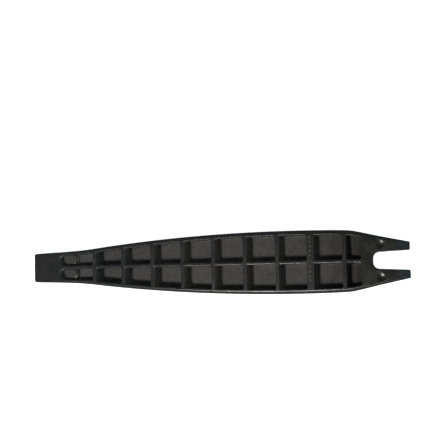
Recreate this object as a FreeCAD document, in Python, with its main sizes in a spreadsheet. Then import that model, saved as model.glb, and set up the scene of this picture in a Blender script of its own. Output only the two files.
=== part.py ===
import FreeCAD, Part
import os
import re
import Sketcher

# A two-ended pry tool moulded in one piece: a chisel blade at -X, a forked clip lifter at +X.
# +Z points up through the open ribbed side. The smooth face is down, flat on Z = 0 in the middle.
# The moulding is divided into its named features, which meet face to face.

CROSS_RIBS = 9
WIDE_RIB = 8
SAME_POINT = 0.001

SIZES = [
    # overall
    ("tool_length", 200.0),
    ("tool_height", 10.0),
    ("side_draft", 11.0),
    ("edge_chamfer", 1.7),
    ("edge_chamfer_angle", 45.0),
    # plan outline at the rim: half widths and stations along X
    ("blade_half_width", 7.7),
    ("blade_corner", 1.2),
    ("neck_start_x", -79.0),
    ("neck_end_x", -66.0),
    ("neck_radius", 119.0),
    ("neck_half_width", 8.5),
    ("widest_x", 36.0),
    ("widest_half_width", 14.45),
    ("shoulder_x", 71.5),
    ("prong_outer_half_width", 8.5),
    # smooth face, as it rises to the two thin ends
    ("blade_tip_thickness", 1.0),
    ("blade_wedge_angle", 17.0),
    ("blade_bend_radius", 60.0),
    ("fork_tip_thickness", 1.6),
    ("fork_wedge_angle", 16.0),
    ("fork_bend_radius", 48.0),
    ("cutter_overrun", 3.0),
    # notch between the prongs
    ("notch_root_x", 82.3),
    ("notch_corner", 3.0),
    ("notch_root_half_width", 3.9),
    ("notch_mouth_half_width", 4.8),
    # shallow label panel in the smooth face
    ("panel_length", 66.0),
    ("panel_width", 15.5),
    ("panel_centre_x", 2.0),
    ("panel_corner", 2.0),
    ("panel_depth", 0.35),
    # pockets and ribs
    ("skin_thickness", 2.0),
    ("rim_width", 1.0),
    ("spine_thickness", 1.6),
    ("rib_thickness", 1.7),
    ("wide_rib_thickness", 3.3),
    ("rib_pitch", 16.65),
    ("first_rib_x", -64.2),
    ("tail_wall_x", 77.3),
    # first pair of pockets, with round ends and two floor levels
    ("nose_x", -84.7),
    ("nose_step_end_x", -75.4),
    ("nose_step_top", 6.4),
    ("nose_floor_top", 3.4),
    # last pair of pockets, with a sloped floor
    ("tail_ramp_top", 4.2),
]

# The side of the outline from neck to shoulder is one long arc, level at the widest station, so its
# radius and its width at the shoulder follow. The smooth face meets each wedge in a tangent arc.
WORKED_OUT = [
    ("tip_x", "tool_length / 2"),
    ("side_arc_radius", "((widest_x - neck_end_x)^2 + (widest_half_width - neck_half_width)^2)"
                        " / (2 * (widest_half_width - neck_half_width))"),
    ("shoulder_half_width", "widest_half_width - side_arc_radius"
                            " + sqrt(side_arc_radius^2 - (shoulder_x - widest_x)^2)"),
    ("tail_half_width", "shoulder_half_width - (shoulder_half_width - prong_outer_half_width)"
                        " * (tail_wall_x - shoulder_x) / (tip_x - shoulder_x)"),
    ("sole_growth", "tool_height * tan(side_draft * 1deg) - edge_chamfer"),
    ("blade_bend_x", "-tip_x + (tool_height - blade_tip_thickness) / tan(blade_wedge_angle * 1deg)"),
    ("blade_bend_run", "blade_bend_radius * tan(blade_wedge_angle * 0.5deg)"),
    ("fork_bend_x", "tip_x - (tool_height - fork_tip_thickness) / tan(fork_wedge_angle * 1deg)"),
    ("fork_bend_run", "fork_bend_radius * tan(fork_wedge_angle * 0.5deg)"),
    ("nose_end_radius", "(blade_half_width - rim_width - spine_thickness / 2) / 2"),
    ("nose_end_y", "spine_thickness / 2 + nose_end_radius"),
    ("core_start_x", "nose_x + nose_end_radius"),
    ("last_rib_x", f"first_rib_x + {CROSS_RIBS - 1} * rib_pitch"),
]

doc = FreeCAD.newDocument("pry_tool")
sheet = doc.addObject("Spreadsheet::Sheet", "Sizes")
for row, (alias, value) in enumerate(SIZES, start=1):
    sheet.set(f"A{row}", alias)
    sheet.set(f"B{row}", str(value))
    sheet.setAlias(f"B{row}", alias)
for row, (alias, formula) in enumerate(WORKED_OUT, start=len(SIZES) + 1):
    sheet.set(f"A{row}", alias)
    sheet.set(f"B{row}", f"={formula}")
    sheet.setAlias(f"B{row}", alias)
doc.recompute()


# ---- small helpers -----------------------------------------------------------------------------
def in_sheet(formula):
    """A formula in the sheet's aliases, with each alias named as a cell of the sheet."""
    aliases = {alias for alias, _ in SIZES + WORKED_OUT}
    return re.sub(r"[a-z_]+", lambda word: f"Sizes.{word[0]}" if word[0] in aliases else word[0], formula)


def bind(item, **formulas):
    """Tie properties to formulas. A double underscore in a name stands for a dot."""
    for name, formula in formulas.items():
        item.setExpression(name.replace("__", "."), in_sheet(formula))


def new_sketch(body, name, plane, height="0"):
    """A sketch flat on one of the body's own origin planes, lifted by height."""
    sketch = body.newObject("Sketcher::SketchObject", name)
    support = next(item for item in body.Origin.OriginFeatures if item.Role == plane)
    sketch.AttachmentSupport = [(support, "")]
    sketch.MapMode = "FlatFace"
    bind(sketch, AttachmentOffset__Base__z=height)
    return sketch


def fix_size(sketch, constraint, formula):
    """Add a dimension to a sketch and tie it to its formula."""
    number = sketch.addConstraint(constraint)
    sketch.setExpression(f"Constraints[{number}]", in_sheet(formula))


def draw_profile(sketch, corners, arcs):
    """A closed, fully dimensioned profile through corners, which are pairs of formulas.

    An edge is straight unless arcs gives its radius and the side that it bulges to: 1 is the right
    of the direction of travel and -1 the left.
    """
    points = []
    for x_formula, y_formula in corners:
        x = float(sketch.evalExpression(in_sheet(x_formula)))
        y = float(sketch.evalExpression(in_sheet(y_formula)))
        points.append(FreeCAD.Vector(x, y, 0))
    ends = []
    for edge, start in enumerate(points):
        finish = points[(edge + 1) % len(points)]
        middle = (start + finish) / 2
        if edge in arcs:
            radius_formula, side = arcs[edge]
            radius = float(sketch.evalExpression(in_sheet(radius_formula)))
            chord = finish - start
            bulge = radius - (radius ** 2 - chord.Length ** 2 / 4) ** 0.5
            outward = FreeCAD.Vector(chord.y, -chord.x, 0).normalize() * side
            sketch.addGeometry(Part.Arc(start, middle + outward * bulge, finish))
            fix_size(sketch, Sketcher.Constraint("Radius", edge, radius), radius_formula)
        else:
            sketch.addGeometry(Part.LineSegment(start, finish))
        forward = sketch.getPoint(edge, 1).distanceToPoint(start) < SAME_POINT
        ends.append((1, 2) if forward else (2, 1))
    for edge, (x_formula, y_formula) in enumerate(corners):
        following = (edge + 1) % len(corners)
        start, finish = ends[edge]
        sketch.addConstraint(Sketcher.Constraint("Coincident", edge, finish, following, ends[following][0]))
        across = Sketcher.Constraint("DistanceX", -1, 1, edge, start, points[edge].x)
        along = Sketcher.Constraint("DistanceY", -1, 1, edge, start, points[edge].y)
        fix_size(sketch, across, x_formula)
        fix_size(sketch, along, y_formula)


def draw_outline(sketch, stations, arcs, growth="0"):
    """A plan outline, alike on both sides of the tool, with growth added to each half width."""
    lower = [(x, f"-({half_width} + {growth})") for x, half_width in stations]
    upper = [(x, f"{half_width} + {growth}") for x, half_width in reversed(stations)]
    mirrored = {2 * len(stations) - 2 - edge: arc for edge, arc in arcs.items()}
    draw_profile(sketch, lower + upper, arcs | mirrored)


def box(name, x, y, z):
    """A block between pairs of formulas on the three axes."""
    block = doc.addObject("Part::Box", name)
    for axis, length, (low, high) in (("x", "Length", x), ("y", "Width", y), ("z", "Height", z)):
        bind(block, **{length: f"{high} - ({low})", f"Placement__Base__{axis}": low})
    return block


def common(name, *shapes):
    """What several shapes share."""
    shared = doc.addObject("Part::MultiCommon", name)
    shared.Shapes = list(shapes)
    return shared


def cut(name, base, tool):
    remainder = doc.addObject("Part::Cut", name)
    remainder.Base = base
    remainder.Tool = tool
    return remainder


features = []


def feature(name, shape):
    """Name a shape as one finished feature of the moulding."""
    shape.Label = name
    features.append(shape)


# ---- the moulding's outer form, drafted inwards from the smooth face to the rim ------------------
tool_stations = [
    ("-tip_x", "blade_half_width - blade_corner"),
    ("-tip_x + blade_corner", "blade_half_width"),
    ("neck_start_x", "blade_half_width"),
    ("neck_end_x", "neck_half_width"),
    ("shoulder_x", "shoulder_half_width"),
    ("tip_x", "prong_outer_half_width"),
]
tool_arcs = {0: ("blade_corner", 1), 2: ("neck_radius", -1), 3: ("side_arc_radius", 1)}

moulding = doc.addObject("PartDesign::Body", "moulding")
rim_outline = new_sketch(moulding, "RimOutline", "XY_Plane", "tool_height")
draw_outline(rim_outline, tool_stations, tool_arcs)
blank = moulding.newObject("PartDesign::Pad", "DraftedBlank")
blank.Profile = rim_outline
blank.Reversed = True
bind(blank, Length="tool_height", TaperAngle="side_draft")


def underside_cut(name, end, bend_x, bend_run, radius, angle, tip_thickness, side):
    """Cut the smooth face up to a thin end: end is -1 for the blade and 1 for the fork."""
    sketch = new_sketch(moulding, f"{name}Profile", "XZ_Plane")
    flat_x = f"{bend_x} - {end} * {bend_run}"
    wedge_x = f"{bend_x} + {end} * {bend_run} * cos({angle} * 1deg)"
    wedge_z = f"{bend_run} * sin({angle} * 1deg)"
    outer_x = f"{end} * (tip_x + cutter_overrun)"
    outer_z = f"tool_height - {tip_thickness} + cutter_overrun * tan({angle} * 1deg)"
    below = "-cutter_overrun"
    corners = [(flat_x, "0"), (wedge_x, wedge_z), (outer_x, outer_z), (outer_x, below), (flat_x, below)]
    draw_profile(sketch, corners, {0: (radius, side)})
    pocket = moulding.newObject("PartDesign::Pocket", name)
    pocket.Profile = sketch
    pocket.Type = "ThroughAll"
    pocket.SideType = "Symmetric"
    return pocket


blade_underside = underside_cut(
    "BladeUnderside", -1, "blade_bend_x", "blade_bend_run", "blade_bend_radius",
    "blade_wedge_angle", "blade_tip_thickness", -1)
fork_underside = underside_cut(
    "ForkUnderside", 1, "fork_bend_x", "fork_bend_run", "fork_bend_radius",
    "fork_wedge_angle", "fork_tip_thickness", 1)

notch_profile = new_sketch(moulding, "NotchProfile", "XY_Plane")
notch_stations = [
    ("notch_root_x", "notch_root_half_width - notch_corner"),
    ("notch_root_x + notch_corner", "notch_root_half_width"),
    ("tip_x + cutter_overrun", "notch_mouth_half_width"),
]
draw_outline(notch_profile, notch_stations, {0: ("notch_corner", 1)})
notch = moulding.newObject("PartDesign::Pocket", "Notch")
notch.Profile = notch_profile
notch.Type = "ThroughAll"
notch.Reversed = True

panel_profile = new_sketch(moulding, "PanelProfile", "XY_Plane")
panel_start = "panel_centre_x - panel_length / 2"
panel_finish = "panel_centre_x + panel_length / 2"
panel_stations = [
    (panel_start, "panel_width / 2 - panel_corner"),
    (f"{panel_start} + panel_corner", "panel_width / 2"),
    (f"{panel_finish} - panel_corner", "panel_width / 2"),
    (panel_finish, "panel_width / 2 - panel_corner"),
]
draw_outline(panel_profile, panel_stations, {0: ("panel_corner", 1), 2: ("panel_corner", 1)})
panel = moulding.newObject("PartDesign::Pocket", "LabelPanel")
panel.Profile = panel_profile
panel.Reversed = True
bind(panel, Length="panel_depth")
moulding.Tip = panel

# a flared blank whose sides take the sharp lower edge off the moulding
sole = doc.addObject("PartDesign::Body", "sole")
sole_outline = new_sketch(sole, "SoleOutline", "XY_Plane")
draw_outline(sole_outline, tool_stations, tool_arcs, "sole_growth")
sole_blank = sole.newObject("PartDesign::Pad", "FlaredBlank")
sole_blank.Profile = sole_outline
bind(sole_blank, Length="tool_height", TaperAngle="edge_chamfer_angle")
form = common("outer_form", moulding, sole)

# ---- the hollow side: everything inside the rim and above the skin -------------------------------
core = doc.addObject("PartDesign::Body", "core")
core_outline = new_sketch(core, "CoreOutline", "XY_Plane", "skin_thickness")
core_stations = [
    ("core_start_x", "blade_half_width"),
    ("neck_start_x", "blade_half_width"),
    ("neck_end_x", "neck_half_width"),
    ("shoulder_x", "shoulder_half_width"),
    ("tail_wall_x", "tail_half_width"),
]
core_arcs = {1: ("neck_radius", -1), 2: ("side_arc_radius", 1)}
draw_outline(core_outline, core_stations, core_arcs, "-rim_width")
core_blank = core.newObject("PartDesign::Pad", "CoreBlank")
core_blank.Profile = core_outline
bind(core_blank, Length="tool_height - skin_thickness")

# ---- blocks that divide the moulding -------------------------------------------------------------
reach = "tool_length"
everywhere = (f"-{reach}", reach)
left = ("0", reach)
right = (f"-{reach}", "0")
hollow_length = ("core_start_x", "tail_wall_x")
above_skin = ("skin_thickness", "tool_height")
sides = {
    "left": box("left_half", everywhere, left, everywhere),
    "right": box("right_half", everywhere, right, everywhere),
}
hollow_zone = box("hollow_zone", hollow_length, everywhere, above_skin)
spine_block = box("spine_block", hollow_length, ("-spine_thickness / 2", "spine_thickness / 2"), above_skin)

# ---- skin, walls and spine -----------------------------------------------------------------------
skin_zone = box("skin_zone", hollow_length, everywhere, ("0", "skin_thickness"))
feature("face_plate", common("face_plate_shape", form, skin_zone))

walls = cut("walls", common("wall_ring", form, hollow_zone), core)
for side, half in sides.items():
    feature(f"side_wall_{side}", common(f"side_wall_{side}_shape", walls, half))

feature("spine_rib", common("spine_rib_shape", form, spine_block))

# ---- cross ribs, each in two halves from the spine to a side wall --------------------------------
bays = cut("bays", core, spine_block)
for number in range(1, CROSS_RIBS + 1):
    centre = f"first_rib_x + {number - 1} * rib_pitch"
    thickness = "wide_rib_thickness" if number == WIDE_RIB else "rib_thickness"
    faces = (f"{centre} - {thickness} / 2", f"{centre} + {thickness} / 2")
    slab = box(f"rib_slab_{number}", faces, everywhere, above_skin)
    for side, half in sides.items():
        name = f"cross_rib_{number}_{side}"
        feature(name, common(f"{name}_shape", bays, slab, half))

# ---- floors of the first pair of pockets, in two levels ------------------------------------------
nose_levels = doc.addObject("PartDesign::Body", "nose_levels")
nose_profile = new_sketch(nose_levels, "NoseProfile", "XZ_Plane")
nose_corners = [
    ("core_start_x", "skin_thickness"),
    ("first_rib_x - rib_thickness / 2", "skin_thickness"),
    ("first_rib_x - rib_thickness / 2", "nose_floor_top"),
    ("nose_step_end_x", "nose_floor_top"),
    ("nose_step_end_x", "nose_step_top"),
    ("core_start_x", "nose_step_top"),
]
draw_profile(nose_profile, nose_corners, {})
nose_pad = nose_levels.newObject("PartDesign::Pad", "NoseLevels")
nose_pad.Profile = nose_profile
nose_pad.SideType = "Symmetric"
bind(nose_pad, Length=reach)

# ---- floors of the last pair of pockets, sloping up to the fork ----------------------------------
tail_slope = doc.addObject("PartDesign::Body", "tail_slope")
tail_profile = new_sketch(tail_slope, "TailProfile", "XZ_Plane")
tail_corners = [
    ("last_rib_x + rib_thickness / 2", "skin_thickness"),
    ("tail_wall_x", "skin_thickness"),
    ("tail_wall_x", "tail_ramp_top"),
]
draw_profile(tail_profile, tail_corners, {})
tail_pad = tail_slope.newObject("PartDesign::Pad", "TailSlope")
tail_pad.Profile = tail_profile
tail_pad.SideType = "Symmetric"
bind(tail_pad, Length=reach)

for side, half in sides.items():
    feature(f"nose_step_{side}", common(f"nose_step_{side}_shape", form, bays, nose_levels, half))
    feature(f"tail_ramp_{side}", common(f"tail_ramp_{side}_shape", bays, tail_slope, half))

# ---- chisel blade, scooped by the round ends of the first pockets --------------------------------
blade_zone = box("blade_zone", (f"-{reach}", "core_start_x"), everywhere, everywhere)
nose_ends = doc.addObject("Part::MultiFuse", "nose_ends")
end_cutters = []
for side, sign in (("left", 1), ("right", -1)):
    cutter = doc.addObject("Part::Cylinder", f"nose_end_{side}")
    bind(cutter, Radius="nose_end_radius", Height="tool_height", Placement__Base__x="core_start_x",
         Placement__Base__y=f"{sign} * nose_end_y", Placement__Base__z="nose_step_top")
    end_cutters.append(cutter)
nose_ends.Shapes = end_cutters
feature("chisel_blade", cut("chisel_blade_shape", common("blade_block", form, blade_zone), nose_ends))

# ---- fork ----------------------------------------------------------------------------------------
fork_base_zone = box("fork_base_zone", ("tail_wall_x", "notch_root_x"), everywhere, everywhere)
feature("fork_base", common("fork_base_shape", form, fork_base_zone))

prong_zone = box("prong_zone", ("notch_root_x", reach), everywhere, everywhere)
for side, half in sides.items():
    feature(f"fork_prong_{side}", common(f"fork_prong_{side}_shape", form, prong_zone, half))

# ---- check and write -----------------------------------------------------------------------------
doc.recompute()
for item in doc.Objects:
    if "Invalid" in item.State or "Error" in item.State:
        raise RuntimeError(f"{item.Name} did not recompute: {item.State}")
stages = [blank, blade_underside, fork_underside, notch, panel]
for before, after in zip(stages, stages[1:]):
    if after.Shape.Volume >= before.Shape.Volume:
        raise RuntimeError(f"{after.Name} removes nothing")
os.makedirs("parts", exist_ok=True)
for item in features:
    if item.Shape.isNull() or not item.Shape.isValid() or len(item.Shape.Solids) != 1:
        raise RuntimeError(f"{item.Label} is not one valid solid")
    item.Shape.exportStep(f"parts/{item.Label}.step")
    print(f"{item.Label}: {item.Shape.Volume:.1f} cubic mm")
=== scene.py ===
from math import cos, pi, radians, sin, sqrt, tan

import bmesh
import bpy
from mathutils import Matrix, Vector
from mathutils.geometry import delaunay_2d_cdt


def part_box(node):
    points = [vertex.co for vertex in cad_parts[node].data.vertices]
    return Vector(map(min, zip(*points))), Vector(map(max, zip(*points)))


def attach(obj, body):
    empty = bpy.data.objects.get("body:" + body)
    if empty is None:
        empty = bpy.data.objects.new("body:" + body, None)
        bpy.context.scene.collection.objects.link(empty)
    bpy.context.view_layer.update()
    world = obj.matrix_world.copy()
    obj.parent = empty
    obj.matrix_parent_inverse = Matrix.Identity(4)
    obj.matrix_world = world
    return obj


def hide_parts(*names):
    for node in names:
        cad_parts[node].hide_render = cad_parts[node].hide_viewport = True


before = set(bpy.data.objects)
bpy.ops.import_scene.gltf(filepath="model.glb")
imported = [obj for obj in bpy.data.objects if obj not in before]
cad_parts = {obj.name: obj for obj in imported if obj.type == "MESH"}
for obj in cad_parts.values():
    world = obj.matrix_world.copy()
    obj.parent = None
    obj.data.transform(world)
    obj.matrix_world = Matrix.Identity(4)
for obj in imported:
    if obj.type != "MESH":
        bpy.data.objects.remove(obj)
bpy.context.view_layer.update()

# ---- Outer skin ----------------------------------------------------------------------------------
# The whole tool is one injection moulding in black nylon. This piece is all of it that shows from
# outside: the polished smooth face with its label panel, the drafted side walls, the chisel blade
# and the fork. Its ribbed middle is a piece of its own that sits in the bay left for it here.
rim_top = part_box("side_wall_left")[1].z
tip_x = 0.100
blade_half_width, blade_corner, blade_thickness = 0.0077, 0.0012, 0.0010
blade_wedge, blade_bend = radians(17), 0.060
neck_start, neck_end, neck_half_width, neck_start_slope = -0.079, -0.066, 0.0085, 0.12
widest_x, widest_half_width = 0.036, 0.01445
shoulder_x, shoulder_softness = 0.0715, 0.0003
prong_half_width, prong_corner, prong_thickness = 0.0085, 0.0005, 0.0016
fork_wedge, fork_bend = radians(16), 0.048
notch_x, notch_half_root, notch_root_corner = 0.0823, 0.0039, 0.003
notch_half_mouth, notch_mouth_corner = 0.00464, 0.0007
station_step = 0.0015


def arc_radius(run, rise):
    """Radius of the arc that is level at one end and has risen by rise after a run."""
    return (run ** 2 + rise ** 2) / (2 * rise)


side_radius = arc_radius(widest_x - neck_end, widest_half_width - neck_half_width)


def side_arc(x):
    """Half width on the long bowed side."""
    return widest_half_width - side_radius + sqrt(side_radius ** 2 - (x - widest_x) ** 2)


def half_width(x):
    """Half the width across the rims at x: blade, neck, bowed side, then the taper to the fork."""
    if x < neck_start:
        return blade_half_width
    if x < neck_end:
        share = (x - neck_start) / (neck_end - neck_start)
        curve = share * (neck_start_slope + (1 - neck_start_slope) * share)
        return blade_half_width + (neck_half_width - blade_half_width) * curve
    taper = (side_arc(shoulder_x) - prong_half_width) / (tip_x - shoulder_x)
    bowed, straight = side_arc(x), prong_half_width + taper * (tip_x - x)
    overlap = max(shoulder_softness - abs(bowed - straight), 0) / shoulder_softness
    return min(bowed, straight) - overlap ** 2 * shoulder_softness / 4


def underside(x):
    """Height of the smooth face at x: flat in the middle, a bend, and a straight wedge to each tip."""
    rise = 0
    for from_tip, tip_thickness, wedge, bend_radius in (
            (tip_x + x, blade_thickness, blade_wedge, blade_bend),
            (tip_x - x, prong_thickness, fork_wedge, fork_bend)):
        meeting = (rim_top - tip_thickness) / tan(wedge)
        into_bend = meeting + bend_radius * tan(wedge / 2) - from_tip
        if into_bend > bend_radius * sin(wedge):
            rise = (meeting - from_tip) * tan(wedge)
        elif into_bend > 0:
            rise = bend_radius - sqrt(bend_radius ** 2 - into_bend ** 2)
    return rise


def rounded(corners, steps=8):
    """Points along straight runs, with each (x, y, radius) corner between the ends rounded off."""
    points = [Vector(corners[0][:2])]
    for before, (x, y, radius), after in zip(corners, corners[1:], corners[2:]):
        corner = Vector((x, y))
        if not radius:
            points.append(corner)
            continue
        back = (Vector(before[:2]) - corner).normalized()
        onward = (Vector(after[:2]) - corner).normalized()
        half_angle = back.angle(onward) / 2
        centre = corner + (back + onward).normalized() * radius / sin(half_angle)
        start = corner + back * radius / tan(half_angle) - centre
        finish = corner + onward * radius / tan(half_angle) - centre
        sweep = pi - 2 * half_angle
        for step in range(steps + 1):
            share = step / steps
            turned = start * sin((1 - share) * sweep) + finish * sin(share * sweep)
            points.append(centre + turned / sin(sweep))
    return points + [Vector(corners[-1][:2])]


def stations(start, finish):
    """Evenly spaced x from start to finish, about one station step apart."""
    count = round(abs(finish - start) / station_step)
    return [start + (finish - start) * step / count for step in range(count + 1)]


def both_sides(left_points):
    """A closed loop from its left half, which starts and ends on the middle line."""
    return left_points + [Vector((p.x, -p.y)) for p in left_points[-2:0:-1]]


def outward(loop):
    """The outward direction at each point of an anticlockwise loop."""
    directions = []
    for before, after in zip(loop[-1:] + loop[:-1], loop[1:] + loop[:1]):
        along = (after - before).normalized()
        directions.append(Vector((along.y, -along.x)))
    return directions


def within(ring, point):
    """Whether a point is inside a ring of vertices, as seen in plan."""
    inside = False
    for a, b in zip(ring, ring[1:] + ring[:1]):
        if (a.co.y > point.y) != (b.co.y > point.y):
            crossing = a.co.x + (point.y - a.co.y) * (b.co.x - a.co.x) / (b.co.y - a.co.y)
            inside = inside != (point.x < crossing)
    return inside


def cover(mesh, rings, across=()):
    """Fill between rings of vertices, as seen in plan. Pairs in across are joined by an edge."""
    corners = [vertex for ring in rings for vertex in ring]
    number = {vertex: place for place, vertex in enumerate(corners)}
    edges = [(number[a], number[b]) for ring in rings for a, b in zip(ring, ring[1:] + ring[:1])]
    edges += [(number[a], number[b]) for a, b in across]
    plan = [vertex.co.xy for vertex in corners]
    _, _, triangles, came_from, _, _ = delaunay_2d_cdt(plan, edges, [], 1, 1e-9)
    for triangle in triangles:
        a, b, c = (corners[came_from[place][0]] for place in triangle)
        middle = (a.co + b.co + c.co) / 3
        if sum(within(ring, middle) for ring in rings) % 2:
            mesh.faces.new((a, b, c))


def wall(mesh, columns, material=0):
    """Quads between neighbouring columns of vertices, all the way round."""
    for here, following in zip(columns, columns[1:] + columns[:1]):
        for a, b, c, d in zip(here, here[1:], following[1:], following):
            mesh.faces.new((a, b, c, d)).material_index = material


def bends(loop_ring):
    """Pairs of vertices across the tool, wherever its underside is bending."""
    blade_bend_from, blade_bend_to = -0.080, -0.060
    fork_bend_from, fork_bend_to = 0.062, 0.078
    half = len(loop_ring) // 2
    return [(left, loop_ring[-place]) for place, left in enumerate(loop_ring[1:half], start=1)
            if blade_bend_from < left.co.x < blade_bend_to or fork_bend_from < left.co.x < fork_bend_to]


first_side_x, last_side_x = 0.0985, -0.0975
tool_outline = both_sides(rounded(
    [(notch_x, 0, 0), (notch_x, notch_half_root, notch_root_corner),
     (tip_x, notch_half_mouth, notch_mouth_corner), (tip_x, prong_half_width, prong_corner)]
    + [(x, half_width(x), 0) for x in stations(first_side_x, last_side_x)]
    + [(-tip_x, blade_half_width, blade_corner), (-tip_x, 0, 0)]))

# the edge all round: a gentle crown on the rim, a small round, the drafted wall and the low round
notch_wall_y, notch_wall_blend = 0.0047, 0.0009
side_draft, side_low_round, notch_low_round = radians(11), 0.0020, 0.0004
widest_crown, crown_slope, widest_edge_round = 0.00038, radians(8.5), 0.00015
side_low_share, thin_share, edge_share = 0.35, 0.3, 0.1
crown_steps, crown_curve, edge_steps, low_steps = (0, 0.35, 0.7), 0.2, 5, 8
bare_below_edge, low_wear = 0.1, 0.6


def edge_section(point):
    """Down the outside from rim to smooth face at a point: (outwards, height, how exposed it is)."""
    low = underside(point.x)
    thickness = rim_top - low
    from_notch = (abs(point.y) - notch_wall_y) / notch_wall_blend
    outer_side = 1 if point.x < 0 else min(max(from_notch, 0), 1)
    draft = side_draft * outer_side
    low_round = (min(side_low_round, side_low_share * thickness) * outer_side
                 + min(notch_low_round, thin_share * thickness) * (1 - outer_side))
    low_centre = ((rim_top - low - low_round) * sin(draft) - low_round) / cos(draft)
    crown_width = min(widest_crown, thin_share * thickness)
    edge_round = min(widest_edge_round, edge_share * thickness)
    crown_drop = crown_width * tan(crown_slope)
    edge_height = rim_top - crown_drop - edge_round * cos(crown_slope)
    edge_centre = (rim_top - edge_height - edge_round * sin(draft)) * tan(draft) - edge_round * cos(draft)
    crown_start = edge_centre + edge_round * sin(crown_slope) - crown_width
    section = []
    for share in crown_steps:
        fall = crown_drop * ((1 - crown_curve) * share + crown_curve * share ** 2)
        section.append((crown_start + crown_width * share, rim_top - fall, share))
    for step in range(edge_steps + 1):
        angle = pi / 2 - crown_slope - (pi / 2 - crown_slope - draft) * step / edge_steps
        section.append((edge_centre + edge_round * cos(angle), edge_height + edge_round * sin(angle), 1))
    edge_out, edge_low = section[-1][:2]
    wall_out, wall_low = low_centre + low_round * cos(draft), low + low_round * (1 + sin(draft))
    section.append((edge_out + (wall_out - edge_out) * bare_below_edge,
                    edge_low + (wall_low - edge_low) * bare_below_edge, 0))
    for step in range(low_steps + 1):
        angle = draft - (pi / 2 + draft) * step / low_steps
        section.append((low_centre + low_round * cos(angle), low + low_round + low_round * sin(angle),
                        low_wear * sin(pi * step / low_steps)))
    return section


skin = bmesh.new()
exposed = skin.verts.layers.float.new("exposed")
columns = []
for point, direction in zip(tool_outline, outward(tool_outline)):
    column = []
    for out, height, exposure in edge_section(point):
        place = point + direction * out
        vertex = skin.verts.new((place.x, place.y, height))
        vertex[exposed] = exposure
        column.append(vertex)
    columns.append(column)
wall(skin, columns)
rim_ring = [column[0] for column in columns]
sole_ring = [column[-1] for column in columns]

# the label panel, a plain sunk field with a softened edge
panel_x, panel_half_length, panel_half_width = 0.002, 0.033, 0.00775
panel_depth, panel_corner, panel_slope, panel_steps = 0.00035, 0.002, 0.0004, 6
panel_right, panel_left = panel_x + panel_half_length, panel_x - panel_half_length
panel_outline = both_sides(rounded(
    [(panel_right, 0, 0), (panel_right, panel_half_width, panel_corner),
     (panel_left, panel_half_width, panel_corner), (panel_left, 0, 0)]))
panel_columns = []
for point, direction in zip(panel_outline, outward(panel_outline)):
    column = []
    for step in range(panel_steps + 1):
        share = step / panel_steps
        place = point - direction * panel_slope * share
        column.append(skin.verts.new((place.x, place.y, panel_depth * (1 - cos(pi * share)) / 2)))
    panel_columns.append(column)
wall(skin, panel_columns)
cover(skin, [[column[-1] for column in panel_columns]])
cover(skin, [sole_ring, [column[0] for column in panel_columns]], bends(sole_ring))

# the bay for the ribbed middle, half way across the rims
bay_margin, bay_corner, bay_skin, clear_of_corner = 0.0005, 0.0003, 0.001, 0.001
pockets_start, pockets_finish = -0.0847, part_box("fork_base")[0].x
bay_start, bay_finish = pockets_start - bay_margin, pockets_finish + bay_margin
bay_outline = both_sides(rounded(
    [(bay_finish, 0, 0), (bay_finish, half_width(bay_finish) - bay_margin, bay_corner)]
    + [(x, half_width(x) - bay_margin, 0)
       for x in stations(bay_finish - clear_of_corner, bay_start + clear_of_corner)]
    + [(bay_start, half_width(bay_start) - bay_margin, bay_corner), (bay_start, 0, 0)]))


def line_bay(mesh, material=0):
    """Wall and floor of the bay, with a skin left below it. Gives back its top ring."""
    bay_columns = []
    for p in bay_outline:
        bay_floor = underside(p.x) + bay_skin
        bay_columns.append([mesh.verts.new((p.x, p.y, rim_top)), mesh.verts.new((p.x, p.y, bay_floor))])
    wall(mesh, bay_columns, material)
    floor_ring = [column[1] for column in bay_columns]
    cover(mesh, [floor_ring], bends(floor_ring))
    return [column[0] for column in bay_columns]


# shallow round dishes that the ejector pins leave on the fork
dish_x, dish_y, dish_radius, dish_depth = 0.0865, 0.0079, 0.0019, 0.00023
dish_sides, dish_steps = 32, 7
satin_slot = 1
dish_rings = []
for side in (1, -1):
    dish_columns = []
    for turn in range(dish_sides):
        angle = 2 * pi * turn / dish_sides
        column = []
        for step in range(dish_steps):
            reach = dish_radius * (1 - step / dish_steps)
            column.append(skin.verts.new((
                dish_x + reach * cos(angle), side * dish_y + reach * sin(angle),
                rim_top - dish_depth * (1 - (reach / dish_radius) ** 2))))
        dish_columns.append(column)
    wall(skin, dish_columns, satin_slot)
    cover(skin, [[column[-1] for column in dish_columns]])
    dish_rings.append([column[0] for column in dish_columns])

before_top = set(skin.faces)
cover(skin, [rim_ring, line_bay(skin, satin_slot), *dish_rings])
for face in skin.faces:
    if face not in before_top or all(vertex.co.z > rim_top - dish_depth for vertex in face.verts):
        face.material_index = satin_slot
bmesh.ops.recalc_face_normals(skin, faces=skin.faces)
for face in skin.faces:
    face.smooth = True
skin_mesh = bpy.data.meshes.new("outer_skin")
skin.to_mesh(skin_mesh)
skin.free()


def node(tree, kind, inputs=None, **settings):
    """Add a node. Each input is a number, a colour or the output of another node."""
    added = tree.nodes.new(kind)
    for name, value in settings.items():
        setattr(added, name, value)
    for name, value in (inputs or {}).items():
        if isinstance(value, bpy.types.NodeSocket):
            tree.links.new(value, added.inputs[name])
        else:
            added.inputs[name].default_value = value
    return added


worn_nylon = (0.055, 0.056, 0.060, 1)
wear_patch, smudge_patch, scratch_spacing = 0.0025, 0.006, 0.003
long_scratch, steep_scratch = ((7.0, 0.17, 0.17), 0.35), ((8.0, 0.15, 0.15), -0.9)
scratch_gloss_loss, scratch_depth = 0.12, 0.3


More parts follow.
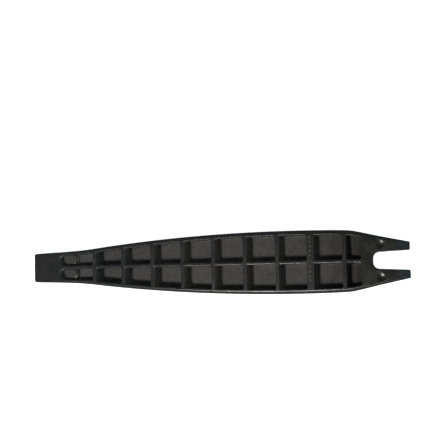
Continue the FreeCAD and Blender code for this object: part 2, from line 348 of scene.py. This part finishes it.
def nylon(name, colours_and_painted_shade, mottle_size, mottle, roughness, grain_size, grain_depth):
    """Moulded nylon: colour along the tool, painted shade in some finishes; mottled, grained, finely
    scratched, worn at edges.
    """
    material = bpy.data.materials.new(name)
    material.use_nodes = True
    tree = material.node_tree
    shader = tree.nodes["Principled BSDF"]
    shader.inputs["IOR"].default_value = 1.53
    place = node(tree, "ShaderNodeTexCoord").outputs["Object"]

    def noise(size, detail, stretch=(1, 1, 1), turn=0.0):
        turned = node(tree, "ShaderNodeMapping", {
            "Vector": place, "Scale": stretch, "Rotation": (0, 0, turn)}, vector_type="TEXTURE")
        return node(tree, "ShaderNodeTexNoise", {
            "Vector": turned.outputs[0], "Scale": 1 / size, "Detail": detail}).outputs["Fac"]

    def ranged(value, low, high, to_low=0.0, to_high=1.0):
        limits = {"From Min": low, "From Max": high, "To Min": to_low, "To Max": to_high}
        return node(tree, "ShaderNodeMapRange", {"Value": value, **limits}).outputs[0]

    def blend(factor, first, second, blend_type="MIX"):
        mixed = node(tree, "ShaderNodeMix", data_type="RGBA", blend_type=blend_type)
        for socket, value in ((0, factor), (6, first), (7, second)):
            if isinstance(value, bpy.types.NodeSocket):
                tree.links.new(value, mixed.inputs[socket])
            else:
                mixed.inputs[socket].default_value = value
        return mixed.outputs[2]

    def calc(operation, first, second):
        return node(tree, "ShaderNodeMath", {0: first, 1: second}, operation=operation).outputs[0]

    along = node(tree, "ShaderNodeSeparateXYZ", {0: place}).outputs["X"]
    # colour along the tool: where its stops darken, this is painted shade standing in for light that falls
    # off along the tool
    ramp_with_painted_shade = node(tree, "ShaderNodeValToRGB", {"Fac": ranged(along, -tip_x, tip_x)})
    stops = ramp_with_painted_shade.color_ramp.elements
    for x, colour in colours_and_painted_shade[1:-1]:
        stops.new((x + tip_x) / (2 * tip_x)).color = (*colour, 1)
    stops[0].color, stops[len(stops) - 1].color = (*colours_and_painted_shade[0][1], 1), (*colours_and_painted_shade[-1][1], 1)
    cool = (1 - mottle, 1 - 0.93 * mottle, 1 - 0.8 * mottle, 1)
    warm = (1 + mottle, 1 + 0.93 * mottle, 1 + 0.65 * mottle, 1)
    blotches = ranged(noise(mottle_size, 5.0), 0.33, 0.67)
    mottled = blend(1.0, ramp_with_painted_shade.outputs["Color"], blend(blotches, cool, warm), "MULTIPLY")
    exposed_edge = node(tree, "ShaderNodeAttribute", attribute_name="exposed").outputs["Fac"]
    wear = calc("MULTIPLY", exposed_edge, ranged(noise(wear_patch, 4.0), 0.45, 0.70, 0.0, 0.5))
    tree.links.new(blend(wear, mottled, worn_nylon), shader.inputs["Base Color"])

    scratches = calc("ADD", ranged(noise(scratch_spacing, 2.0, *long_scratch), 0.66, 0.70),
                     ranged(noise(scratch_spacing, 2.0, *steep_scratch), 0.68, 0.72))
    gloss = ranged(noise(smudge_patch, 4.0), 0.3, 0.7, *roughness)
    dulled = calc("ADD", gloss, calc("MULTIPLY", calc("ADD", scratches, wear), scratch_gloss_loss))
    tree.links.new(dulled, shader.inputs["Roughness"])
    relief = calc("SUBTRACT", noise(grain_size, 3.0), calc("MULTIPLY", scratches, scratch_depth))
    bump = node(tree, "ShaderNodeBump", {"Height": relief, "Strength": 1.0, "Distance": grain_depth})
    tree.links.new(bump.outputs["Normal"], shader.inputs["Normal"])
    return material


polished_black = nylon(
    "polished_black",
    [(-tip_x, (0.0060, 0.0060, 0.0066)), (0.05, (0.0055, 0.0055, 0.0060)), (tip_x, (0.0065, 0.0068, 0.0070))],
    mottle_size=0.012, mottle=0.25, roughness=(0.14, 0.24), grain_size=0.0012, grain_depth=0.000006)
# the rims darken along the tool towards the fork: painted shade where the key lamp's sheen falls off; olive
# at the fork, bluish at the tips
satin_rim_painted_shade = nylon(
    "satin_rim_painted_shade",
    [(-tip_x, (0.0245, 0.0243, 0.0232)), (-0.06, (0.0205, 0.0205, 0.0218)), (0.04, (0.0140, 0.0132, 0.0125)),
     (0.078, (0.0090, 0.0095, 0.0048)), (0.093, (0.0090, 0.0105, 0.0062)), (tip_x, (0.0120, 0.0260, 0.0390))],
    mottle_size=0.008, mottle=0.15, roughness=(0.20, 0.30), grain_size=0.0005, grain_depth=0.000010)
skin_mesh.materials.append(polished_black)
skin_mesh.materials.append(satin_rim_painted_shade)


def finish_piece(name, mesh):
    """Make a mesh an object with flat floors and crisp joins, and return it as a plain piece."""
    crisp_join, near_level, gentle_ramp, across_tilt = radians(34), 0.9999, 0.97, 0.002
    for face in mesh.polygons:
        level = abs(face.normal.z) > near_level
        ramp = face.normal.z > gentle_ramp and abs(face.normal.y) < across_tilt
        face.use_smooth = not (level or ramp)
    mesh.set_sharp_from_angle(angle=crisp_join)
    rough_piece = bpy.data.objects.new(name, mesh)
    bpy.context.scene.collection.objects.link(rough_piece)
    weighted = rough_piece.modifiers.new("even_flats", "WEIGHTED_NORMAL")
    weighted.mode = "FACE_AREA"
    weighted.keep_sharp = True
    evaluated = rough_piece.evaluated_get(bpy.context.evaluated_depsgraph_get())
    rough_piece.data = bpy.data.meshes.new_from_object(evaluated)
    rough_piece.modifiers.clear()
    return rough_piece


outer_skin = finish_piece("outer_skin", skin_mesh)
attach(outer_skin, "root")
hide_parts("face_plate", "side_wall_left", "side_wall_right", "chisel_blade", "fork_base",
            "fork_prong_left", "fork_prong_right")

# ---- Ribbed middle -------------------------------------------------------------------------------
# The open side of the same moulding: a spine and nine cross ribs, which leave two rows of ten
# pockets. Each pocket is the print of one steel core, with drafted walls, a lip at the rim and a
# small radius at its floor. The cores are laid out along the bay and cut from it.
core_half, corner_steps, thinnest_corner = 0.005, 6, 0.00005
pocket_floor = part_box("cross_rib_1_left")[0].z
spine_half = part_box("spine_rib")[1].y
spine_lip_stretch = 1.8


def lofted(name, sections, left_radius, right_radius, right_stretch=1.0):
    """A closed pattern on a rounded square plan, from (inset, height, exposure) rings, lowest first.

    The right end draws in right_stretch times as far as the other sides do. The lip on the spine's
    side is stretched, since the top of the spine is gently crowned.
    """
    solid = bmesh.new()
    exposed = solid.verts.layers.float.new("exposed")
    rings = []
    for inset, height, exposure in sections:
        reach, right_reach = core_half - inset, core_half - inset * right_stretch
        left, right = (max(radius - inset, thinnest_corner) for radius in (left_radius, right_radius))
        plan = both_sides(rounded(
            [(right_reach, 0, 0), (right_reach, reach, right)]
            + [(share * right_reach, reach, 0) for share in (0.25, 0, -0.25)]
            + [(-reach, reach, left), (-reach, 0, 0)], corner_steps))
        ring = []
        for p in plan:
            across = p.y + core_half
            if across < 0:
                across *= spine_lip_stretch
            vertex = solid.verts.new((p.x, across, height))
            vertex[exposed] = exposure
            ring.append(vertex)
        rings.append(ring)
    for lower, upper in zip(rings, rings[1:]):
        for a, b, c, d in zip(lower, lower[1:] + lower[:1], upper[1:] + upper[:1], upper):
            solid.faces.new((a, b, c, d))
    solid.faces.new(rings[0])
    solid.faces.new(rings[-1])
    bmesh.ops.recalc_face_normals(solid, faces=solid.faces)
    for face in solid.faces:
        face.smooth = True
    mesh = bpy.data.meshes.new(name)
    solid.to_mesh(mesh)
    solid.free()
    pattern = bpy.data.objects.new(name, mesh)
    bpy.context.scene.collection.objects.link(pattern)
    return pattern


pocket_draft, root_radius, lip_radius, ring_steps = radians(1), 0.0005, 0.0003, 5
lip_sweep, lip_flare = radians(80), 0.00014
just_over_rim, clear_of_rim = rim_top + 0.00002, rim_top + 0.0003
square_corner, nose_corner = 0.0008, 0.0029


def core_sections():
    """Rings of a pocket core: floor, root radius, drafted wall, lip, and clear above the rim."""
    draft_inset = (rim_top - pocket_floor) * tan(pocket_draft)
    rings = []
    for step in range(ring_steps + 1):
        angle = pi / 2 * step / ring_steps
        rings.append((draft_inset + root_radius * (1 - sin(angle)),
                      pocket_floor + root_radius * (1 - cos(angle)), 0))
    for step in range(ring_steps + 1):
        angle = lip_sweep * step / ring_steps
        rings.append((-lip_radius * (1 - cos(angle)), rim_top - lip_radius * (1 - sin(angle)),
                      step / ring_steps))
    flare = -lip_radius * (1 - cos(lip_sweep)) - lip_flare
    return rings + [(flare, just_over_rim, 1), (flare, clear_of_rim, 1)]


core = lofted("core", core_sections(), square_corner, square_corner)
nose_core = lofted("nose_core", core_sections(), nose_corner, square_corner)

# the domed pad at the round end of the first pockets, sunk into the walls and floor round it
pad_below_step = 0.0003
nose_pad_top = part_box("nose_step_left")[1].z - pad_below_step
nose_pad_length, pad_dome, pad_drop, pad_overlap, pad_steps = 0.0092, 0.0012, 0.0015, 0.0003, 8
pad_corner, pad_end_corner, pad_end_stretch = 0.0003, 0.0028, 1.5
nose_sections = [(-pad_overlap, pocket_floor - pad_overlap, 0)]
for step in range(pad_steps + 1):
    angle = pi / 2 * step / pad_steps
    nose_sections.append((pad_dome * (1 - cos(angle)) - pad_overlap,
                          nose_pad_top - pad_drop * (1 - sin(angle)), 0))
nose_pad = lofted("nose_pad", nose_sections, pad_corner, pad_end_corner, pad_end_stretch)

# one point for each bay, with its ends, how far its floor is raised there and whether a pin marks it
cross_ribs = [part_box(f"cross_rib_{number}_left") for number in range(1, 10)]
bay_points = bpy.data.meshes.new("bays")
bay_points.from_pydata([(0, 0, 0)] * 10, [], [])
nose_rise_at_start, nose_rise_at_rib = 0.0035, 0.0016
tail_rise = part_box("tail_ramp_left")[1].z - pocket_floor
for name, values in (
        ("start", [pockets_start] + [rib[1].x for rib in cross_ribs]),
        ("end", [rib[0].x for rib in cross_ribs] + [pockets_finish]),
        ("start_rise", [nose_rise_at_start] + [0] * 9),
        ("end_rise", [nose_rise_at_rib] + [0] * 8 + [tail_rise]),
        ("pin", [0, 0, 1, 0, 1, 1, 0, 0, 1, 0])):
    bay_points.attributes.new(name, "FLOAT", "POINT").data.foreach_set("value", values)
bays = bpy.data.objects.new("bays", bay_points)
bpy.context.scene.collection.objects.link(bays)

ribbed = bmesh.new()
cover(ribbed, [line_bay(ribbed)])
bmesh.ops.recalc_face_normals(ribbed, faces=ribbed.faces)
for face in ribbed.faces:
    face.smooth = True
ribbed_mesh = bpy.data.meshes.new("ribbed_middle")
ribbed.to_mesh(ribbed_mesh)
ribbed.free()

# the pocket floors carry painted shade along the tool: lighter on the left, darker towards the fork where
# less light reaches, with painted shadow bands at the fork end of the last two pockets and a lighter band
# between them
eroded_pocket_painted_shade = nylon(
    "eroded_pocket_painted_shade",
    [(-tip_x, (0.070, 0.072, 0.074)), (-0.055, (0.084, 0.084, 0.080)), (-0.02, (0.083, 0.080, 0.073)),
     (0.0, (0.080, 0.077, 0.069)), (0.038, (0.065, 0.062, 0.056)), (0.055, (0.053, 0.050, 0.047)),
     (0.0605, (0.046, 0.043, 0.041)), (0.0630, (0.027, 0.026, 0.027)), (0.069, (0.027, 0.026, 0.028)),
     (0.0705, (0.062, 0.056, 0.060)), (0.0735, (0.058, 0.052, 0.056)), (0.0760, (0.020, 0.019, 0.022)),
     (tip_x, (0.036, 0.036, 0.036))],
    mottle_size=0.0016, mottle=0.28, roughness=(0.42, 0.55), grain_size=0.0004, grain_depth=0.00002)
shiny_pad = nylon(
    "shiny_pad", [(-tip_x, (0.082, 0.082, 0.066)), (tip_x, (0.082, 0.082, 0.066))],
    mottle_size=0.0016, mottle=0.18, roughness=(0.22, 0.30), grain_size=0.0004, grain_depth=0.00001)
ribbed_mesh.materials.append(eroded_pocket_painted_shade)

tree = bpy.data.node_groups.new("pockets", "GeometryNodeTree")
tree.interface.new_socket("Ribbed Middle", in_out="INPUT", socket_type="NodeSocketGeometry")
for name in ("Bays", "Core", "Nose Core", "Nose Pad"):
    tree.interface.new_socket(name, in_out="INPUT", socket_type="NodeSocketObject")
for name in ("Pattern Half", "Spine Half", "Wall Inset", "Mid Height", "Ray Height", "Rim Height",
             "Lip Height", "Floor Height", "Pad Length", "Pin Radius", "Pin Depth", "Dot Rib X",
             "Dot Pitch", "Dot Radius", "Dot Depth", "First Dot"):
    tree.interface.new_socket(name, in_out="INPUT", socket_type="NodeSocketFloat")
tree.interface.new_socket("Dots", in_out="INPUT", socket_type="NodeSocketInt")
for name in ("Pocket Finish", "Pad Finish", "Land Finish"):
    tree.interface.new_socket(name, in_out="INPUT", socket_type="NodeSocketMaterial")
tree.interface.new_socket("Cut Middle", in_out="OUTPUT", socket_type="NodeSocketGeometry")
given = node(tree, "NodeGroupInput").outputs


def math(operation, *values):
    return node(tree, "ShaderNodeMath", dict(enumerate(values)), operation=operation).outputs[0]


def pick(condition, if_false, if_true):
    chosen = node(tree, "GeometryNodeSwitch", {"Switch": condition, "False": if_false, "True": if_true},
                  input_type="FLOAT")
    return chosen.outputs[0]


def attribute(name):
    return node(tree, "GeometryNodeInputNamedAttribute", {"Name": name}).outputs["Attribute"]


def object_mesh(name):
    return node(tree, "GeometryNodeObjectInfo", {"Object": given[name]}).outputs["Geometry"]


def position():
    here = node(tree, "GeometryNodeInputPosition").outputs[0]
    return node(tree, "ShaderNodeSeparateXYZ", {0: here}).outputs


def vector(x, y, z):
    return node(tree, "ShaderNodeCombineXYZ", {"X": x, "Y": y, "Z": z}).outputs[0]


def placed(points, wanted, instance):
    """An instance on every wanted point, made real so that its own points can be moved."""
    instances = node(tree, "GeometryNodeInstanceOnPoints", {
        "Points": points, "Selection": wanted, "Instance": instance})
    return node(tree, "GeometryNodeRealizeInstances", {0: instances.outputs[0]}).outputs[0]


def wall_at(x):
    """The inner face of the left side wall at x, measured from the side of the bay."""
    past_the_side = 0.05
    ray = node(tree, "GeometryNodeRaycast", {
        "Target Geometry": given["Ribbed Middle"], "Source Position": vector(x, 0.0, given["Ray Height"]),
        "Ray Direction": (0, 1, 0), "Ray Length": past_the_side})
    side = node(tree, "ShaderNodeSeparateXYZ", {0: ray.outputs["Hit Position"]}).outputs["Y"]
    return math("SUBTRACT", side, given["Wall Inset"])


def in_each_bay(pattern, wanted, end):
    """Put a pattern in every wanted bay, stretched to the bay's ends, the spine and the side wall."""
    real = placed(object_mesh("Bays"), wanted, object_mesh(pattern))
    spot, start = position(), attribute("start")
    from_end = math("ADD", math("SUBTRACT", end, given["Pattern Half"]), spot["X"])
    from_start = math("ADD", math("ADD", start, given["Pattern Half"]), spot["X"])
    x = pick(math("LESS_THAN", spot["X"], 0.0), from_end, from_start)
    pattern_width = math("MULTIPLY", given["Pattern Half"], 2.0)
    from_wall = math("ADD", math("SUBTRACT", wall_at(x), pattern_width), spot["Y"])
    from_spine = math("ADD", given["Spine Half"], spot["Y"])
    y = pick(math("LESS_THAN", spot["Y"], given["Pattern Half"]), from_wall, from_spine)
    along = math("DIVIDE", math("SUBTRACT", x, start), math("SUBTRACT", end, start))
    rise = math("ADD", math("MULTIPLY", attribute("start_rise"), math("SUBTRACT", 1.0, along)),
                math("MULTIPLY", attribute("end_rise"), along))
    z = math("ADD", spot["Z"], math("MULTIPLY", rise, math("LESS_THAN", spot["Z"], given["Mid Height"])))
    return node(tree, "GeometryNodeSetPosition", {"Geometry": real, "Position": vector(x, y, z)}).outputs[0]


def pin_marks():
    """The faint sunk disc of an ejector pin in the middle of each marked pocket floor."""
    disc = node(tree, "GeometryNodeMeshCylinder", {
        "Vertices": 32, "Radius": given["Pin Radius"], "Depth": math("MULTIPLY", given["Pin Depth"], 2.0)})
    centre = math("MULTIPLY", math("ADD", attribute("start"), attribute("end")), 0.5)
    across = math("MULTIPLY", math("ADD", given["Spine Half"], wall_at(centre)), 0.5)
    real = placed(object_mesh("Bays"), attribute("pin"), disc.outputs["Mesh"])
    return node(tree, "GeometryNodeSetPosition", {
        "Geometry": real, "Offset": vector(centre, across, given["Floor Height"])}).outputs[0]


def rib_dots():
    """The row of round dimples in the top of the wide rib."""
    lift = math("SUBTRACT", given["Dot Radius"], given["Dot Depth"])
    centre_height = math("ADD", given["Rim Height"], lift)
    row = node(tree, "GeometryNodeMeshLine", {
        "Count": given["Dots"], "Offset": vector(0.0, given["Dot Pitch"], 0.0),
        "Start Location": vector(given["Dot Rib X"], given["First Dot"], centre_height)})
    ball = node(tree, "GeometryNodeMeshIcoSphere", {"Radius": given["Dot Radius"], "Subdivisions": 4})
    return placed(row.outputs["Mesh"], True, ball.outputs["Mesh"])


def both_rows(left_row):
    """A row on the left of the spine, and its mirror image on the right."""
    mirrored = node(tree, "GeometryNodeTransform", {"Geometry": left_row, "Scale": (1, -1, 1)})
    right_row = node(tree, "GeometryNodeFlipFaces", {"Mesh": mirrored.outputs[0]}).outputs[0]
    joined = node(tree, "GeometryNodeJoinGeometry")
    tree.links.new(left_row, joined.inputs[0])
    tree.links.new(right_row, joined.inputs[0])
    return joined.outputs[0]


def boolean(operation, first, *others):
    combined = node(tree, "GeometryNodeMeshBoolean", operation=operation, solver="MANIFOLD")
    if operation == "DIFFERENCE":
        tree.links.new(first, combined.inputs["Mesh 1"])
    for other in others if operation == "DIFFERENCE" else (first, *others):
        tree.links.new(other, combined.inputs["Mesh 2"])
    return combined.outputs["Mesh"]


bay_number = node(tree, "GeometryNodeInputIndex").outputs[0]
is_nose = node(tree, "FunctionNodeCompare", {2: bay_number, 3: 0},
               data_type="INT", operation="EQUAL").outputs[0]
is_plain = node(tree, "FunctionNodeBooleanMath", {0: is_nose}, operation="NOT").outputs[0]
bay_end = attribute("end")
pad_end = math("ADD", attribute("start"), given["Pad Length"])
cut = boolean("DIFFERENCE", given["Ribbed Middle"],
              both_rows(in_each_bay("Core", is_plain, bay_end)),
              both_rows(in_each_bay("Nose Core", is_nose, bay_end)), both_rows(rib_dots()))
pads = node(tree, "GeometryNodeStoreNamedAttribute", {
    "Geometry": both_rows(in_each_bay("Nose Pad", is_nose, pad_end)), "Name": "pad", "Value": 1.0},
    data_type="FLOAT", domain="POINT").outputs[0]
padded = boolean("UNION", cut, pads)
marked = boolean("DIFFERENCE", padded, both_rows(pin_marks()))
real = node(tree, "GeometryNodeRealizeInstances", {0: marked}).outputs[0]
on_pad = math("GREATER_THAN", attribute("pad"), 0.9)
on_land = math("GREATER_THAN", position()["Z"], given["Lip Height"])
finished = real
for wanted, finish in ((True, "Pocket Finish"), (on_pad, "Pad Finish"), (on_land, "Land Finish")):
    finished = node(tree, "GeometryNodeSetMaterial", {
        "Geometry": finished, "Selection": wanted, "Material": given[finish]}).outputs[0]
tree.links.new(finished, node(tree, "NodeGroupOutput").inputs[0])

ribbed_middle = bpy.data.objects.new("ribbed_middle", ribbed_mesh)
bpy.context.scene.collection.objects.link(ribbed_middle)
cutting = ribbed_middle.modifiers.new("pockets", "NODES")
cutting.node_group = tree
wide_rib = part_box("cross_rib_8_left")
dot_pitch = 0.0022
sizes = {
    "Bays": bays, "Core": core, "Nose Core": nose_core, "Nose Pad": nose_pad,
    "Pocket Finish": eroded_pocket_painted_shade, "Pad Finish": shiny_pad, "Land Finish": satin_rim_painted_shade,
    "Pattern Half": core_half, "Spine Half": spine_half, "Wall Inset": bay_margin, "Mid Height": 0.0035,
    "Ray Height": 0.009, "Rim Height": rim_top, "Lip Height": rim_top - 0.0002, "Floor Height": pocket_floor,
    "Pad Length": nose_pad_length, "Pin Radius": 0.0016, "Pin Depth": 0.00008,
    "Dot Rib X": (wide_rib[0].x + wide_rib[1].x) / 2, "Dot Pitch": dot_pitch, "Dot Radius": 0.0011,
    "Dot Depth": 0.00034, "First Dot": dot_pitch * 1.35, "Dots": 5}
for socket in tree.interface.items_tree:
    if socket.name in sizes:
        cutting[socket.identifier] = sizes[socket.name]
evaluated = ribbed_middle.evaluated_get(bpy.context.evaluated_depsgraph_get())
cut_mesh = bpy.data.meshes.new_from_object(evaluated)
for pattern in (ribbed_middle, bays, core, nose_core, nose_pad):
    bpy.data.objects.remove(pattern)
ribbed_middle = finish_piece("ribbed_middle", cut_mesh)
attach(ribbed_middle, "root")
rib_halves = [f"cross_rib_{number}_{side}" for number in range(1, 10) for side in ("left", "right")]
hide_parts("spine_rib", *rib_halves, "nose_step_left", "nose_step_right", "tail_ramp_left",
            "tail_ramp_right")

# ---- Studio --------------------------------------------------------------------------------------
# The tool lies ribs up on a plain table in a dim room. A soft key lamp stands high on the near left, a
# long strip low in front and a fill on the right. The table and the backdrop are white to the camera
# only, so that they don't light the pockets.
half_table = 3
table_corners = [(x * half_table, y * half_table, 0) for x, y in ((-1, -1), (1, -1), (1, 1), (-1, 1))]
floor_mesh = bpy.data.meshes.new("table")
floor_mesh.from_pydata(table_corners, [], [(0, 1, 2, 3)])
floor = bpy.data.objects.new("table", floor_mesh)
bpy.context.scene.collection.objects.link(floor)
white = bpy.data.materials.new("white_table")
white.use_nodes = True
lit = white.node_tree.nodes["Principled BSDF"]
lit.inputs["Base Color"].default_value = (0.9, 0.9, 0.9, 1)
lit.inputs["Roughness"].default_value = 0.9
lit.inputs["Emission Color"].default_value = (1, 1, 1, 1)
lit.inputs["Emission Strength"].default_value = 0.93
seen = node(white.node_tree, "ShaderNodeLightPath").outputs["Is Camera Ray"]
dim = node(white.node_tree, "ShaderNodeBsdfDiffuse", {"Color": (0.12, 0.12, 0.12, 1)}).outputs[0]
shown = node(white.node_tree, "ShaderNodeMixShader", {0: seen, 1: dim, 2: lit.outputs[0]}).outputs[0]
white.node_tree.links.new(shown, white.node_tree.nodes["Material Output"].inputs["Surface"])
floor_mesh.materials.append(white)

world = bpy.data.worlds.new("room")
world.use_nodes = True
air = world.node_tree.nodes["Background"]
air.inputs["Color"].default_value = (0.80, 0.90, 1.0, 1)
direction = node(world.node_tree, "ShaderNodeTexCoord").outputs["Generated"]
height = node(world.node_tree, "ShaderNodeSeparateXYZ", {0: direction}).outputs["Z"]
glow = node(world.node_tree, "ShaderNodeMapRange", {
    "Value": height, "From Min": 0.15, "From Max": 0.55, "To Min": 0.9, "To Max": 0.09}).outputs["Result"]
world.node_tree.links.new(glow, air.inputs["Strength"])
backdrop = node(world.node_tree, "ShaderNodeBackground", {"Color": (1, 1, 1, 1), "Strength": 1.0}).outputs[0]
seen = node(world.node_tree, "ShaderNodeLightPath").outputs["Is Camera Ray"]
shown = node(world.node_tree, "ShaderNodeMixShader", {0: seen, 1: air.outputs[0], 2: backdrop}).outputs[0]
world.node_tree.links.new(shown, world.node_tree.nodes["World Output"].inputs["Surface"])
bpy.context.scene.world = world


def softbox(name, energy, location, sides, shape="SQUARE", colour=(1.0, 1.0, 1.0)):
    """An area lamp that faces the middle of the tool."""
    light = bpy.data.lights.new(name, "AREA")
    light.shape = shape
    light.size, light.size_y = sides
    light.energy = energy
    light.color = colour
    lamp = bpy.data.objects.new(name, light)
    lamp.location = location
    lamp.rotation_euler = lamp.location.to_track_quat("Z", "Y").to_euler()
    bpy.context.scene.collection.objects.link(lamp)


softbox("key", energy=8.0, location=(-0.33, -0.49, 1.5), sides=(0.28, 0.28), shape="DISK",
        colour=(1.0, 0.97, 0.91))
softbox("strip", energy=2.4, location=(-0.05, -0.7, 0.45), sides=(0.5, 0.12), shape="RECTANGLE")
softbox("fill", energy=1.4, location=(0.9, 0.05, 0.62), sides=(0.5, 0.5), colour=(0.95, 0.97, 1.0))

lens = bpy.data.cameras.new("camera")
lens.sensor_width = 36
lens.lens = 65.3
camera = bpy.data.objects.new("camera", lens)
camera.location = (0.1221, 0.0032, 0.3895)
camera.rotation_euler = (radians(2.70), radians(17.33), radians(-1.49))
bpy.context.scene.collection.objects.link(camera)
bpy.context.scene.camera = camera
bpy.context.scene.view_settings.view_transform = "Standard"
